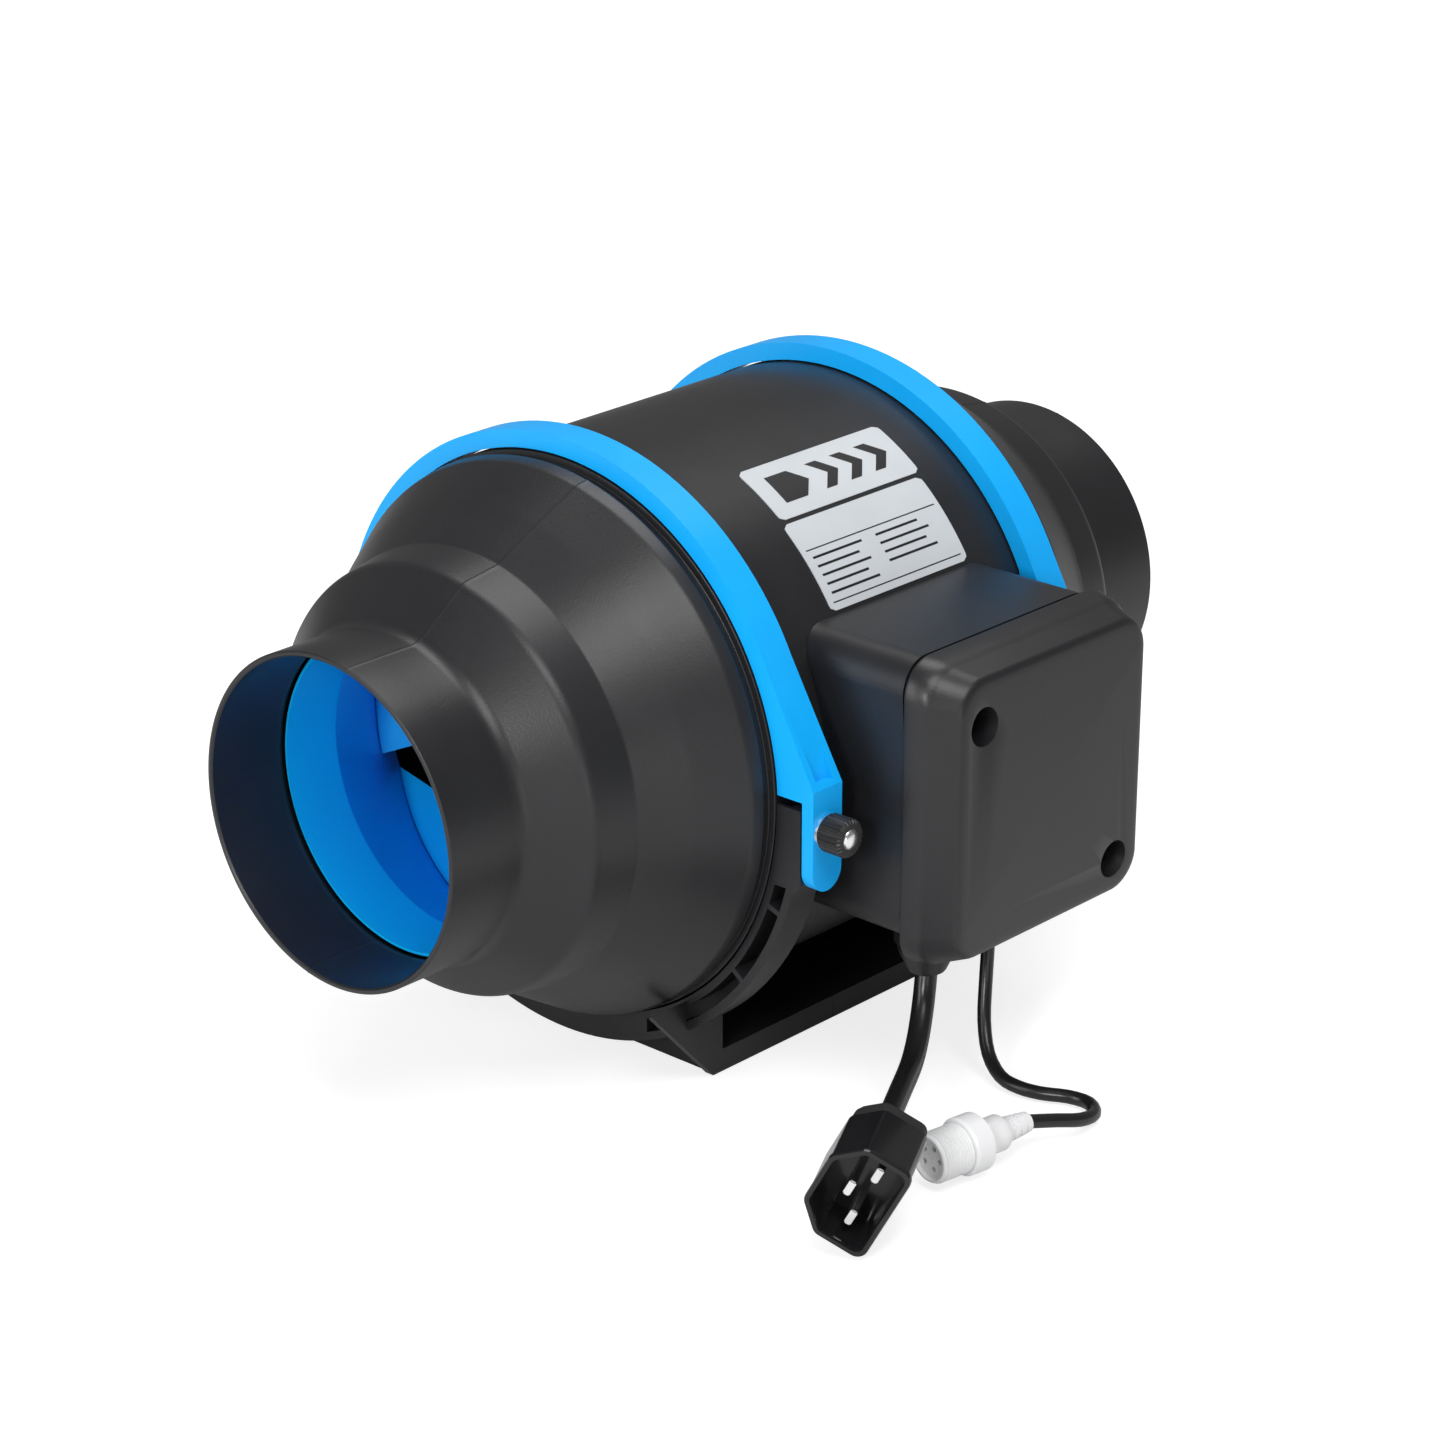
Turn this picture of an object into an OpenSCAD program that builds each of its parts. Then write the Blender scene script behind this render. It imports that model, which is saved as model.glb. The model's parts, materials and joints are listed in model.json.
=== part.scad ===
// Mixed-flow inline duct fan, clamped in a two-arch bracket.
// Air flows along +X, the junction box is on the -Y side, and Z = 0 is the face the bracket rests on.

/* [Duct] */
// Outer radius of the duct spigots
spigot_r = 48.5; // [48:0.1:49]
// Distance from the middle of the fan to each mouth
half_len = 151.3; // [148:0.1:154]
// Wall thickness of the plastic casings
wall = 2.2; // [1.8:0.1:2.4]

/* [Casing] */
// Outer radius of the middle casing
body_r = 82.7; // [82.5:0.1:82.8]
// Height of the fan axis above the bracket base
axis_h = 95; // [94:0.5:96]

/* [Straps and bracket] */
// Distance from the middle of the fan to the centre of each strap
strap_x = 56.9; // [56.5:0.1:57.3]
// Width of a strap
strap_w = 10.6; // [10:0.1:11]
// Outer radius of a strap
strap_r = 88.4; // [88:0.1:89]
// Half length of the bracket base along the fan
base_hx = 51; // [50:0.5:52]
// Half width of the bracket base
base_hy = 50; // [48:0.5:52]
// Thickness of the bracket base
base_t = 7; // [6:0.5:8]
// Radius of the base screw holes
base_hole_r = 2.6; // [2:0.1:3]

/* [Junction box] */
// Left wall of the box, from the middle of the fan
box_left = -41; // [-42:0.5:-40]
// Right wall of the box, from the middle of the fan
box_right = 43; // [42:0.5:44]
// Lower wall of the box, from the fan axis
box_low = -40; // [-41:0.5:-39]
// Upper wall of the box, from the fan axis
box_high = 43; // [42:0.5:43]
// Distance from the fan axis to the open face of the box
box_y = 110; // [109:0.5:111]
// Left side of the cover, from the middle of the fan
cover_left = -42.2; // [-44:0.1:-42]
// Right side of the cover, from the middle of the fan
cover_right = 48; // [47:0.5:50]
// Lower side of the cover, from the fan axis
cover_low = -46.5; // [-48:0.5:-45]
// Upper side of the cover, from the fan axis
cover_high = 43.4; // [43.2:0.1:45]
// Distance from the fan axis to the front of the cover
cover_y = 126; // [125:0.5:128]

/* [Hidden] */
$fn = 96;
box_x = [box_left, box_right];
box_z = [box_low, box_high];
cover_x = [cover_left, cover_right];
cover_z = [cover_low, cover_high];
inner_r = spigot_r - 1.8;
clamp_r = body_r + 0.5;
strap_in = strap_x - strap_w / 2;
strap_out = strap_x + strap_w / 2;

// Clamp bolt and hinge, as offsets from the fan axis.
bolt_z = -4;
bolt_r = 2;
hinge_y = 94;
hinge_z = -1;
hinge_pin_r = 1.5;
tab_in = 92;
tab_out = 96;
tab_low = -16;
lug_top = 2;
band_end = 4.5;

// Motor along the fan axis.
shaft_r = 4;
cup_front = -77;
cup_rear = -30;
cup_r = 29.5;
pod_r = 46;
blades = 7;
vanes = 9;
teeth = 12;

// Screw places on the cover, as [x, z] from the fan axis.
cover_screws_at = [[-26, 25], [34, -33]];
board_posts_at = [[-20, -22], [28, -22], [-20, 13], [28, 13]];
box_screws_at = [[-35, -20], [-35, 20], [37, -20], [37, 20]];
base_holes_at = [30, 20];

// Gland of the mains lead and grommet of the control lead, as [x, y] under the box.
gland_at = [-19, -101];
control_at = [12, -98];
box_floor_z = axis_h + box_z[0];

// Place of the motor lead along the fan.
motor_lead_x = 0;

// Route of each lead: round numbers, from its gland to what is on its end.
mains_d = 6.4;
mains_route = [[-19, -101, 38], [-21.4, -102.3, 31.5], [-25.1, -104.4, 26], [-30, -107.2, 21.7],
    [-35.6, -110.3, 19], [-41.7, -113.7, 18.2], [-50.4, -118.6, 18.3], [-60, -124, 18.3],
    [-70, -129.6, 18.3]];
control_d = 4;
control_route = [[12, -98, 46], [12, -98, 42], [11.5, -98.5, 34], [9, -100, 24], [5, -103, 14.5],
    [1, -108, 7], [-2, -115, 3.2], [-2.5, -122, 2.3], [-1, -129, 2.2], [2.5, -136, 2.2],
    [3, -143, 2.3], [-2, -148.5, 2.8], [-10, -150, 4.5], [-19, -148, 7], [-28, -145, 9]];
plug_at = [-70, -129.6, 18.3];
plug_turn = 208.7;
plug_roll = 62;
connector_at = [-28, -145, 9];
connector_turn = 171;

// ---- Helpers ----

// Unit vector from a to b.
function toward(a, b) = (b - a) / norm(b - a);
// Corner q between p and s, rounded to radius r in steps of about 12 degrees.
function corner(p, q, s, r) =
    let (u = toward(q, p), v = toward(q, s), half = acos(max(-1, min(1, u * v))) / 2)
    r <= 0 || half > 89.5 ? [q] :
    let (reach = r / tan(half), mid = toward([0, 0], u + v), c = q + mid * r / sin(half),
        a = q + u * reach - c, b = q + v * reach - c, turn = 180 - 2 * half,
        n = max(2, ceil(turn / 12)), side = a[0] * b[1] - a[1] * b[0] > 0 ? 1 : -1)
    [for (i = [0:n]) let (g = side * turn * i / n)
        c + [a[0] * cos(g) - a[1] * sin(g), a[0] * sin(g) + a[1] * cos(g)]];
// Outline from [x, r, corner radius] points.
function rounded(pts) = [for (i = [0:len(pts) - 1])
    let (q = [pts[i][0], pts[i][1]])
    each (i == 0 || i == len(pts) - 1 ? [q] :
        corner([pts[i - 1][0], pts[i - 1][1]], q, [pts[i + 1][0], pts[i + 1][1]], pts[i][2]))];
function flip(pts) = [for (i = [len(pts) - 1:-1:0]) pts[i]];
// Catmull-Rom curve through the points of a route, n steps a span.
function spline(p, n) = [for (i = [0:len(p) - 2]) for (j = [0:n - 1])
    let (a = p[max(i - 1, 0)], b = p[i], c = p[i + 1], d = p[min(i + 2, len(p) - 1)], t = j / n)
    0.5 * (2 * b + (c - a) * t + (2 * a - 5 * b + 4 * c - d) * t * t + (3 * b - a - 3 * c + d) * t * t * t),
    p[len(p) - 1]];

module on_axis() translate([0, 0, axis_h]) rotate([0, 90, 0]) children();
module along_x(x0, x1) translate([x0, 0, axis_h]) rotate([90, 0, 90]) linear_extrude(x1 - x0) children();
// Shapes drawn as [x, z] and pushed out from y0 to y1, measured towards the junction box.
module along_box(y0, y1) translate([0, -y0, axis_h]) rotate([90, 0, 0]) linear_extrude(y1 - y0) children();
module tube(r_in, r_out, x0, x1) on_axis() translate([0, 0, x0]) difference() {
    cylinder(r = r_out, h = x1 - x0);
    translate([0, 0, -1]) cylinder(r = r_in, h = x1 - x0 + 2);
}
// Three cylinders in a circle of radius at about the fan axis.
module screw_circle(at, x0, x1, r) on_axis() for (a = [0, 120, 240]) rotate([0, 0, a])
    translate([at, 0, x0]) cylinder(r = r, h = x1 - x0, $fn = 32);
module rod(r, x0, x1) on_axis() translate([0, 0, x0]) cylinder(r = r, h = x1 - x0);
// Solid of revolution about the fan axis, from an outline of [x, r] points.
module lathe(pts) on_axis() rotate_extrude($fn = 144) polygon([for (p = pts) [p[1], p[0]]]);
module rounded_rect(xs, zs, r) {
    translate([xs[0] + r, zs[0]]) square([xs[1] - xs[0] - 2 * r, zs[1] - zs[0]]);
    translate([xs[0], zs[0] + r]) square([xs[1] - xs[0], zs[1] - zs[0] - 2 * r]);
    for (x = [xs[0] + r, xs[1] - r], z = [zs[0] + r, zs[1] - r]) translate([x, z]) circle(r, $fn = 48);
}
// Round tube swept along a route, closed at both ends.
module lead(route, d, sides) {
    path = spline(route, 3);
    count = len(path);
    rings = [for (i = [0:count - 1])
        let (t = toward(path[max(i - 1, 0)], path[min(i + 1, count - 1)]),
            u = toward([0, 0, 0], cross(t, [0.48, -0.87, 0.1])), v = cross(t, u))
        each [for (k = [0:sides - 1]) let (a = 360 * k / sides) path[i] + d / 2 * (u * cos(a) + v * sin(a))]];
    last = (count - 1) * sides;
    polyhedron(rings, concat(
        [[for (k = [0:sides - 1]) k]], [[for (k = [sides - 1:-1:0]) last + k]],
        [for (i = [0:count - 2]) for (k = [0:sides - 1]) let (a = i * sides, b = a + sides, n = (k + 1) % sides)
            [a + k, b + k, b + n, a + n]]));
}

// ---- Bracket ----

// One arch with its half of the base, on the inlet side. The outlet side is its mirror image.
module bracket_half() difference() {
    union() {
        translate([-base_hx, -base_hy, 0]) cube([base_hx - 0.05, 2 * base_hy, base_t]);
        // Arch under the fan, as a channel that is open towards the mouth.
        along_x(-strap_out - 0.4, -strap_in) intersection() {
            circle(91.8);
            translate([-100, -100]) square([200, 100 + hinge_z - 5]);
        }
        // Near lug, which the strap's bolt drops into.
        along_x(-strap_out - 0.4, -strap_in)
            polygon([[-70, -46], [-91.7, -20], [-91.7, lug_top], [-70, lug_top]]);
        // Far lug with the two hinge ears.
        along_x(-strap_out, -strap_in) polygon([[70, -50], [91, -22], [hinge_y + 4, hinge_z - 3],
            [hinge_y + 4, hinge_z], [hinge_y - 4, hinge_z], [80, -6]]);
        along_x(-strap_out, -strap_in) translate([hinge_y, hinge_z]) circle(4, $fn = 48);
        // Wings that reach forward under the cone.
        for (y = [-base_hy, base_hy - 3]) translate([0, y, 0]) rotate([90, 0, 0]) translate([0, 0, -3])
            linear_extrude(3) polygon([[-48, 0], [-52, 0], [-79, 29], [-79, 37], [-60, 26], [-48, 20]]);
    }
    // Seat of the casing.
    rod(clamp_r, -90, 0);
    along_x(-90, -strap_out - 0.4) circle(84);
    // Channel between the two walls of the arch, with webs left standing.
    along_x(-strap_out - 1, -strap_in - 2.2) difference() {
        circle(89.4);
        circle(85.4);
        translate([-100, -22]) square([200, 122]);
        translate([-34, -100]) square([68, 100]);
        for (a = [200, 218, 322, 340]) rotate(a) translate([0, -0.8]) square([100, 1.6]);
    }
    // Open-topped slot for the bolt, with room for its head.
    translate([-strap_x - 2.4, -100, axis_h + bolt_z - 2.6]) cube([4.8, 20, 20]);
    translate([-strap_x - 4.4, -87.4, axis_h + bolt_z - 4.6]) cube([8.8, 8, 20]);
    // Gap for the strap's hinge eye, and the pin hole.
    translate([-strap_x - 2.8, hinge_y - 9, axis_h + hinge_z - 7]) cube([5.6, 20, 20]);
    along_x(-strap_out - 1, -strap_in + 1) translate([hinge_y, hinge_z]) circle(hinge_pin_r, $fn = 48);
    // Base screw holes, and holes for the screws that join the halves.
    for (y = [-base_holes_at[1], base_holes_at[1]])
        translate([-base_holes_at[0], y, -1]) cylinder(r = base_hole_r, h = base_t + 2);
    for (y = [-36, 36]) translate([-9, y, base_t / 2]) rotate([0, 90, 0]) cylinder(r = 1.5, h = 12);
}
module bracket_front() color("#2d2d30") bracket_half();
module bracket_rear() color("#2d2d30") mirror([1, 0, 0]) bracket_half();
module bracket_screws() color("#3a3a3c") for (y = [-36, 36])
    translate([-8, y, base_t / 2]) rotate([0, 90, 0]) cylinder(r = 1.5, h = 16);

// ---- Casing ----

// Outline of an end piece from its mouth to the joint, as [distance from the middle, radius].
end_outer = rounded([[half_len, spigot_r, 0], [125.2, spigot_r, 7], [111.2, 62.4, 6], [98, 64.6, 3],
    [84.5, 73.2, 60], [70.5, 81.5, 4.5], [66, 82.5, 0.8], [65.6, 80.6, 0.3], [62.9, 80.6, 0.3],
    [62.6, body_r, 0.3], [strap_x, body_r, 0]]);
end_inner = rounded([[half_len, inner_r, 0], [124.4, inner_r, 8], [110.4, 60.3, 5], [98, 62.4, 4],
    [84, 71, 50], [72.5, 78.2, 4], [strap_x, 78.2, 0]]);
module end_piece() lathe([for (p = concat(end_outer, flip(end_inner))) [-p[0], p[1]]]);
module inlet_cone() color("#2d2d30") end_piece();
module outlet_cone() color("#2d2d30") mirror([1, 0, 0]) end_piece();
module mid_casing() color("#2d2d30") difference() {
    tube(80, body_r, -strap_x, strap_x);
    for (x = [-strap_x - 1, strap_x - 1.5]) tube(80.4, 81.6, x, x + 2.5);
    along_box(60, 100) translate([motor_lead_x, 0]) circle(5, $fn = 48);
    for (p = box_screws_at) along_box(60, 100) translate(p) circle(1.8, $fn = 32);
}
module inlet_seal() color("#1a1a1a") tube(80.4, 81.6, -strap_x, -strap_x + 1.5);
module outlet_seal() color("#1a1a1a") tube(80.4, 81.6, strap_x - 1.5, strap_x);

// ---- Stator side of the motor ----

module guide_vanes() color("#1c5f9e") difference() {
    union() {
        tube(pod_r - 2, pod_r, -60, 30);
        tube(12, pod_r - 0.4, -18, -15);
        for (i = [0:vanes - 1]) on_axis() rotate([0, 0, 360 * (i + 0.5) / vanes])
            translate([pod_r - 1.3, -1, -20]) cube([81 - pod_r, 2, 40]);
    }
    along_box(30, 100) translate([motor_lead_x, 0]) circle(3.2, $fn = 48);
    screw_circle(30, -20, -12, 1.6);
}
module tail_cone() color("#1c5f9e") lathe(concat(
    rounded([[30, pod_r - 2.2, 0], [30, pod_r, 0], [58, pod_r - 6, 30], [88, 12, 12], [90, 0, 0]]),
    flip(rounded([[22, pod_r - 4.2, 0], [58, pod_r - 8.2, 30], [85, 12, 10], [87.5, 0, 0]])),
    [[22, pod_r - 2.2]]));
module motor_flange() color("#b9bcc0") difference() {
    union() {
        tube(9.5, 36, -22, -18.05);
        tube(8, 11, -66, -18.05);
    }
    screw_circle(30, -24, -16, 1.6);
}
module motor_screws() color("#c8c8cc") {
    screw_circle(30, -24.4, -22, 3);
    screw_circle(30, -22, -15, 1.5);
}
module stator_core() color("#8d9094") on_axis() translate([0, 0, -62]) linear_extrude(26) union() {
    difference() {
        circle(15.5);
        circle(11.02);
    }
    for (i = [0:teeth - 1]) rotate(360 * i / teeth) {
        translate([15, -1.5]) square([8.5, 3]);
        intersection() {
            difference() {
                circle(24.2);
                circle(22.6);
            }
            translate([20, -4.8]) square([6, 9.6]);
        }
    }
}
module stator_windings() color("#b5652b") on_axis() for (i = [0:teeth - 1]) rotate([0, 0, 360 * i / teeth])
    difference() {
        translate([16, -2.6, -64.4]) cube([6.2, 5.2, 30.8]);
        translate([15, -1.52, -62.02]) cube([9, 3.04, 26.04]);
    }
module bearing(x) on_axis() translate([0, 0, x]) rotate_extrude() {
    translate([shaft_r + 0.02, 0]) square([1.3, 5]);
    translate([shaft_r + 1.2, 0.6]) square([1.6, 3.8]);
    translate([6.7, 0]) square([1.28, 5]);
}
module front_bearing() color("#d0d2d5") bearing(-65);
module rear_bearing() color("#d0d2d5") bearing(-24);
module shaft_clip() color("#55585c") tube(3.2, 6, -18.8, -18);
module motor_lead() color("#222222") along_box(43, 89.5) translate([motor_lead_x, 0])
    circle(2.2, $fn = 32);
module lead_grommet() color("#161616") along_box(80.1, 86.5) translate([motor_lead_x, 0]) difference() {
    circle(4.95, $fn = 48);
    circle(2.25, $fn = 32);
}

// ---- Turning parts ----

// Inner face of the shroud, which the blades stop at.
shroud_inner = rounded([[-121.5, 44.9, 0], [-100, 46.2, 30], [-84, 55.6, 30], [-64, 70, 0]]);
module impeller() color("#0a86e0") {
    difference() {
        union() {
            lathe(concat(
                rounded([[-108, 0, 0], [-107.5, 9, 5], [-96, 22, 20], [-80, 33, 30], [-63, pod_r, 0]]),
                flip(rounded([[-105.5, 0, 0], [-105, 8, 5], [-95, 20, 20], [-79, 31, 30],
                    [-63, pod_r - 2.6, 0]]))));
            rod(32, -81, cup_front);
        }
        screw_circle(18, -90, -70, 1.6);
        on_axis() translate([0, 0, -82]) cylinder(r = 1, h = 8, $fn = 32);
    }
    difference() {
        for (i = [0:blades - 1]) on_axis() rotate([0, 0, 360 * i / blades]) rotate([-32, 0, 0])
            translate([8, -0.9, -122]) cube([64, 1.8, 64]);
        // Keep the blades between hub and shroud.
        lathe([[-140, 0], [-140, 120], [-118, 120], [-118, 0]]);
        lathe(concat([[-130, 100], [-130, 44.8]], [for (p = shroud_inner) [p[0], p[1] - 0.1]], [[-64, 100]]));
        lathe([[-66, 0], [-66, 120], [-20, 120], [-20, 0]]);
        lathe([[-107.6, 0], [-107, 8.6], [-95.6, 21.4], [-79.6, 32.4], [-60, 47.5], [-60, 0]]);
    }
}
module impeller_shroud() color("#00a8ff") lathe(concat(
    rounded([[-121.5, 46.1, 0], [-100, 47.6, 30], [-84, 57.2, 30], [-64, 71.6, 0]]), flip(shroud_inner)));
module impeller_screws() color("#c8c8cc") {
    screw_circle(18, -83, -81, 2.8);
    screw_circle(18, -81, -75, 1.5);
}
module rotor_cup() color("#9a9da1") difference() {
    rod(cup_r, cup_front, cup_rear);
    rod(27, cup_front + 2.5, cup_rear + 1);
    rod(shaft_r, cup_front - 1, cup_front + 4);
    screw_circle(18, -80, -72, 1.6);
}
module rotor_magnets() color("#4a4c50") on_axis() for (i = [0:7]) rotate([0, 0, 45 * i])
    translate([0, 0, -63]) rotate_extrude(angle = 41) translate([24.9, 0]) square([2.1, 28]);
module shaft() color("#d8dade") difference() {
    rod(shaft_r, cup_front, -17);
    tube(3.2, 5, -18.8, -18);
}

// ---- Junction box ----

module junction_box() color("#2d2d30") difference() {
    union() {
        difference() {
            along_box(60, box_y) rounded_rect(box_x, box_z, 10);
            along_box(86, box_y + 1) rounded_rect([box_x[0] + wall, box_x[1] - wall],
                [box_z[0] + wall, box_z[1] - wall], 8);
        }
        intersection() {
            for (p = cover_screws_at) along_box(85, box_y) translate(p) circle(4.5, $fn = 48);
            along_box(80, box_y) rounded_rect(box_x, box_z, 10);
        }
        for (p = board_posts_at) along_box(85, 90) translate(p) circle(2.5, $fn = 32);
    }
    rod(body_r + 0.1, -60, 60);
    for (p = cover_screws_at) along_box(92, box_y + 1) translate(p) circle(1.6, $fn = 32);
    for (p = box_screws_at) along_box(60, 100) translate(p) circle(1.8, $fn = 32);
    along_box(80, 90) translate([motor_lead_x, 0]) circle(5, $fn = 48);
    translate([gland_at[0], gland_at[1], box_floor_z - 1]) cylinder(r = 5, h = 5, $fn = 48);
    translate([control_at[0], control_at[1], box_floor_z - 1]) cylinder(r = 3, h = 5, $fn = 48);
}
module box_screws() color("#8d9094") for (p = box_screws_at) {
    along_box(74, 86) translate(p) circle(1.75, $fn = 32);
    along_box(86, 88) translate(p) circle(3.2, $fn = 32);
}
module box_cover() color("#2d2d30") difference() {
    // Straight skirt, then a bevel that is broad on the left and narrow on the right.
    hull() {
        along_box(box_y + 1.2, cover_y - 8) rounded_rect(cover_x, cover_z, 11);
        along_box(cover_y - 9, cover_y) rounded_rect([cover_x[0] + 7.4, cover_x[1] - 3],
            [cover_z[0] + 3.5, cover_z[1] - 5], 9);
    }
    difference() {
        along_box(box_y, cover_y - 9) rounded_rect([cover_x[0] + 3, cover_x[1] - 3],
            [cover_z[0] + 3, cover_z[1] - 3], 8);
        for (p = cover_screws_at) along_box(box_y, cover_y) translate(p) circle(7.5, $fn = 48);
        along_box(box_y, box_y + 4) difference() {
            rounded_rect(cover_x, cover_z, 11);
            rounded_rect([box_x[0] + wall, box_x[1] - wall], [box_z[0] + wall, box_z[1] - wall], 8);
        }
    }
    for (p = cover_screws_at) {
        along_box(box_y + 5, cover_y + 1) translate(p) circle(5.6, $fn = 48);
        along_box(box_y, box_y + 6) translate(p) circle(2, $fn = 32);
    }
}
module cover_gasket() color("#161616") along_box(box_y, box_y + 1.2) difference() {
    rounded_rect([box_x[0] + 0.6, box_x[1] - 0.6], [box_z[0] + 0.6, box_z[1] - 0.6], 9.4);
    rounded_rect([box_x[0] + wall, box_x[1] - wall], [box_z[0] + wall, box_z[1] - wall], 8);
    for (p = cover_screws_at) translate(p) circle(4.5, $fn = 48);
}
module cover_screws() color("#55585c") for (p = cover_screws_at) {
    along_box(96, box_y + 5) translate(p) circle(1.55, $fn = 32);
    along_box(box_y + 5, box_y + 7.4) translate(p) circle(3.4, $fn = 32);
}
module control_board() color("#1f6b3a") along_box(90, 91.6) translate([-24, -26]) square([56, 43]);
module capacitors() color("#27292e") for (p = [[-14, 4, 5.5, 12], [1, 6, 4, 10], [12, 4, 6, 9]])
    along_box(91.6, 91.6 + p[3]) translate([p[0], p[1]]) circle(p[2], $fn = 48);
module terminal_block() color("#d9dadb") difference() {
    along_box(91.6, 101.6) translate([-18, -24]) square([30, 9]);
    for (i = [0:4]) along_box(95, 102) translate([-15 + 6 * i, -19.5]) circle(1.8, $fn = 32);
}
module terminal_screws() color("#b9bcc0") for (i = [0:4])
    along_box(95, 100.6) translate([-15 + 6 * i, -19.5]) circle(1.78, $fn = 32);

// ---- Leads ----

module mains_gland() color("#1c1c1e") translate([gland_at[0], gland_at[1], box_floor_z - 9]) difference() {
    cylinder(r = 9.6, h = 9, $fn = 6);
    translate([0, 0, -1]) cylinder(r = 5, h = 11, $fn = 48);
}
module mains_strain_relief() color("#1c1c1e") translate([gland_at[0], gland_at[1], 0]) {
    translate([0, 0, box_floor_z - 17]) cylinder(r1 = 5.2, r2 = 8.8, h = 8, $fn = 48);
    translate([0, 0, box_floor_z - 9]) cylinder(r = 4.95, h = 15, $fn = 48);
}
module mains_lead() color("#161618") lead(mains_route, mains_d, 10);
// Round or square pieces along the plug's own axis, which starts at the lead.
module at_plug() translate(plug_at) rotate([0, 0, plug_turn]) rotate([90, 0, 90]) rotate(plug_roll)
    children();
module plug_outline(w, h, cut) polygon([[-w / 2 + cut, h / 2], [w / 2 - cut, h / 2], [w / 2, h / 2 - cut],
    [w / 2, -h / 2], [-w / 2, -h / 2], [-w / 2, h / 2 - cut]]);
module plug_shell() color("#1a1a1c") at_plug() difference() {
    translate([0, 0, 22]) linear_extrude(26) plug_outline(29, 23, 7);
    translate([0, 0, 30]) linear_extrude(20) plug_outline(25, 19, 6);
    for (x = [-7, 0, 7]) translate([x - 2, x == 0 ? 0 : -4, 20]) cube([4, 2, 12]);
}
module plug_rear_cap() color("#1a1a1c") at_plug() {
    cylinder(r = 5.5, h = 5, $fn = 48);
    translate([0, 0, 5]) cylinder(r1 = 7.5, r2 = 9.5, h = 6, $fn = 48);
    translate([0, 0, 11]) linear_extrude(11) plug_outline(27, 22, 6);
}
module plug_pins() color("#e2e4e8") at_plug() for (x = [-7, 0, 7])
    translate([x - 2, x == 0 ? 0 : -4, 24]) cube([4, 2, 21]);
module control_grommet() color("#161616") translate([control_at[0], control_at[1], 0]) {
    difference() {
        union() {
            translate([0, 0, box_floor_z - 9]) cylinder(r1 = 3.4, r2 = 5, h = 9, $fn = 48);
            translate([0, 0, box_floor_z]) cylinder(r = 2.95, h = 4, $fn = 48);
        }
        translate([0, 0, box_floor_z - 10]) cylinder(r = control_d / 2 + 0.1, h = 16, $fn = 48);
    }
}
module control_lead() color("#161618") lead(control_route, control_d, 8);
module at_connector() translate(connector_at) rotate([0, 0, connector_turn]) rotate([0, 90, 0]) children();
module connector_sleeve() color("#f2f2f2") at_connector() {
    cylinder(r1 = 3, r2 = 4.2, h = 10, $fn = 48);
    translate([0, 0, 10]) cylinder(r = 5.2, h = 8, $fn = 48);
}
module connector_flange() color("#f2f2f2") at_connector() translate([0, 0, 18])
    cylinder(r = 8.4, h = 7, $fn = 48);
module connector_barrel() color("#f2f2f2") at_connector() translate([0, 0, 25]) difference() {
    cylinder(r = 7.2, h = 11, $fn = 48);
    for (a = [0:72:288]) rotate(a) translate([3.2, 0, 4]) cylinder(r = 0.8, h = 8, $fn = 24);
}

// ---- Straps ----

// Side view of a strap, as [y, z] from the fan axis.
module strap_band() difference() {
    circle(strap_r, $fn = 144);
    circle(clamp_r, $fn = 144);
    translate([-100, -100]) square([200, 100 + band_end]);
}
module strap() difference() {
    union() {
        along_x(-strap_out, -strap_in) strap_band();
        // Wedge that runs out from the band to the tab.
        along_x(-strap_out, -strap_in + 1.2) difference() {
            polygon([[-78.4, 40.8], [-tab_out, band_end + 4], [-tab_out, band_end], [-70, band_end],
                [-70, 40]]);
            circle(clamp_r, $fn = 144);
        }
        along_x(-strap_out, -strap_in + 1.2) translate([-tab_out, tab_low])
            square([tab_out - tab_in, band_end + 1 - tab_low]);
        translate([-strap_x + 0.6, -tab_out, axis_h + tab_low]) rotate([-90, 0, 0])
            cylinder(r = strap_w / 2 + 0.6, h = tab_out - tab_in, $fn = 48);
        // Eye for the hinge pin.
        along_x(-strap_x - 2.5, -strap_x + 2.5) {
            translate([hinge_y, hinge_z]) circle(4, $fn = 48);
            polygon([[hinge_y - 4, hinge_z], [hinge_y + 4, hinge_z], [hinge_y - 1, 14], [85, 22],
                [85.6, band_end]]);
        }
    }
    // Pocket in the wedge.
    along_x(-strap_x - 3, -strap_x + 4) polygon([[-88, 27], [-92, 27], [-99, 10], [-93, 10]]);
    // Pin and bolt holes.
    along_x(-strap_out, -strap_in) translate([hinge_y, hinge_z]) circle(hinge_pin_r + 0.05, $fn = 48);
    translate([-strap_x, -100, axis_h + bolt_z]) rotate([-90, 0, 0])
        cylinder(r = bolt_r + 0.05, h = 10, $fn = 48);
}
module strap_front() color("#00aaff") strap();
module strap_rear() color("#00aaff") mirror([1, 0, 0]) strap();
module hinge_pin() translate([-strap_out, hinge_y, axis_h + hinge_z]) rotate([0, 90, 0])
    cylinder(r = hinge_pin_r, h = strap_w, $fn = 48);
module hinge_pins() color("#c8c8cc") {
    hinge_pin();
    mirror([1, 0, 0]) hinge_pin();
}
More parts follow.
